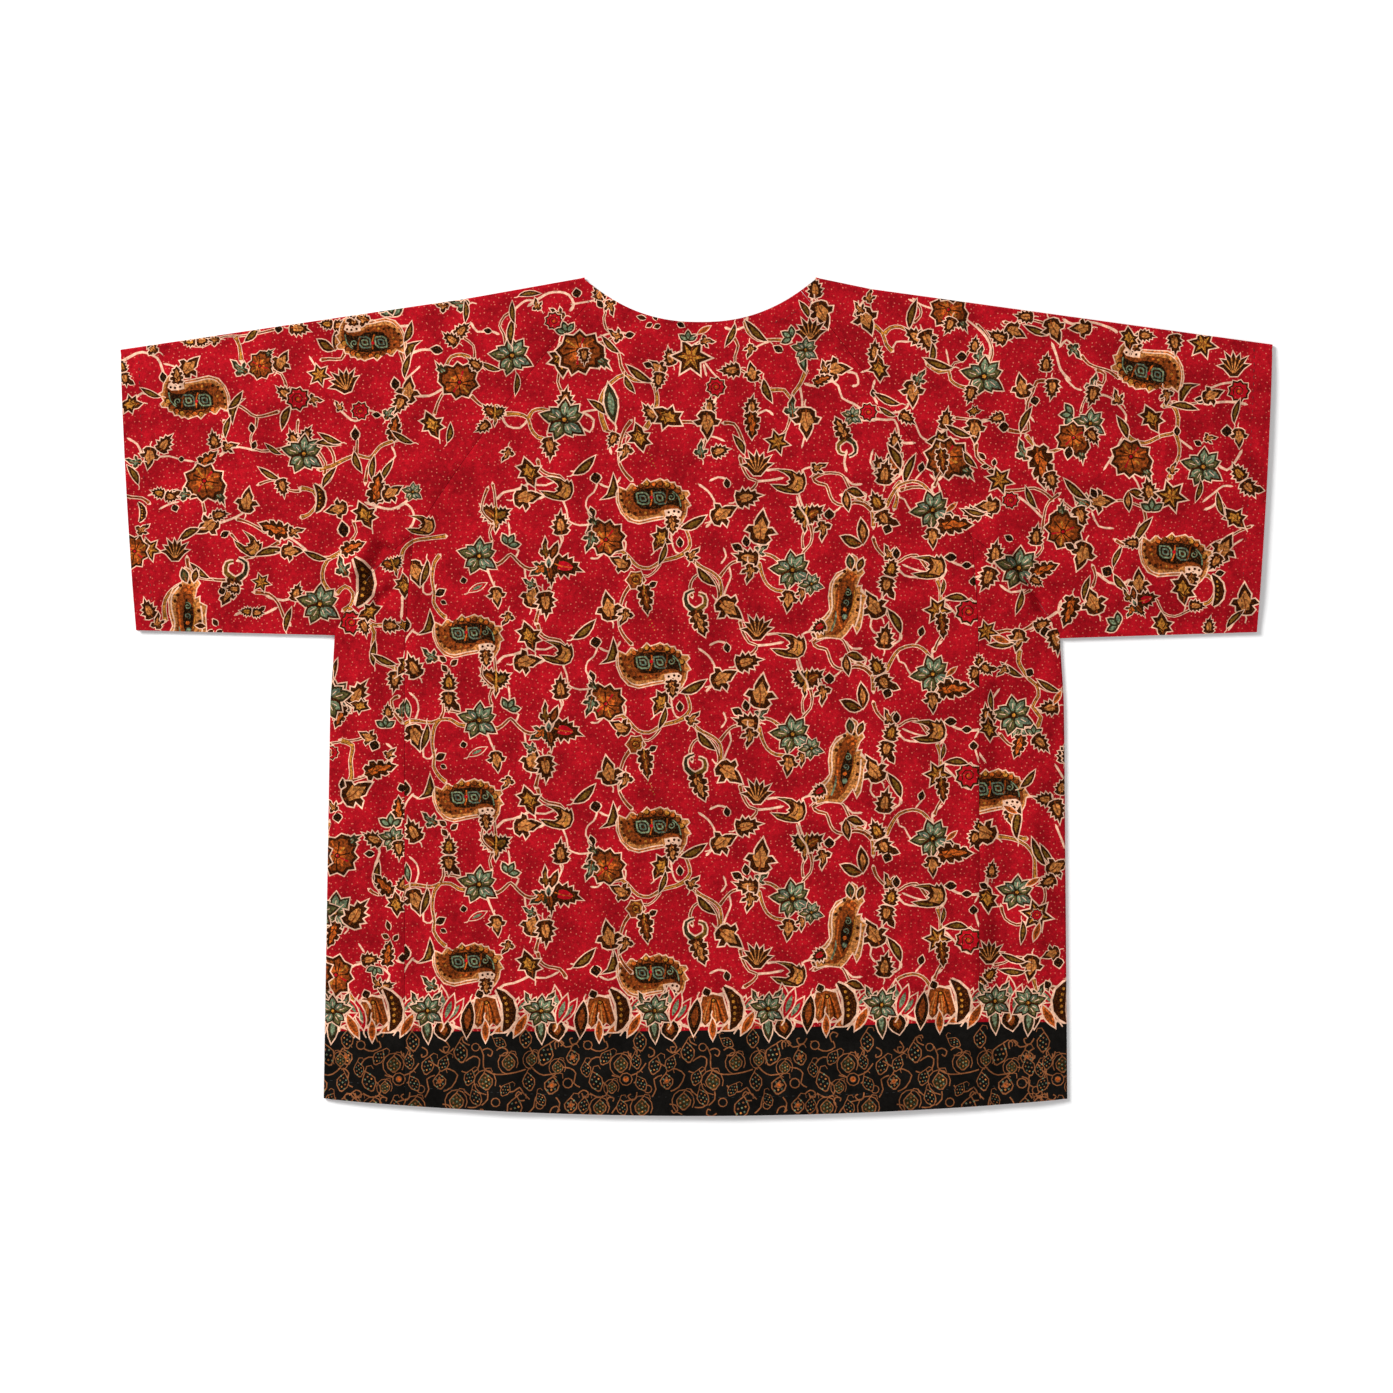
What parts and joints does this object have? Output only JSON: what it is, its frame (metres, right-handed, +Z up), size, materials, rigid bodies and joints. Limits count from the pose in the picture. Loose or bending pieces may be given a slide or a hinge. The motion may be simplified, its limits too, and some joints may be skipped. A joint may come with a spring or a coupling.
{
  "type": "batik crop shirt",
  "caption": "Short boxy printed cotton shirt with wide raglan sleeves, side panels and a round neck, laid flat with its back up.",
  "frame": {"origin": "on the surface that the shirt lies on, under the middle of its outline", "axes": "+X to the right sleeve as seen from above, +Y to the neck, +Z up from the surface, through the front to the back"},
  "size_m": [0.7594, 0.5527, 0.0084],
  "materials": {
    "batik_cotton": "matt plain-woven cotton, wax-resist print of red, black, ochre, teal and cream"
  },
  "bodies": {
    "root": {"back": "batik_cotton", "front": "batik_cotton", "sleeve_left": "batik_cotton", "sleeve_right": "batik_cotton", "side_left": "batik_cotton", "side_right": "batik_cotton"}
  },
  "joints": []
}
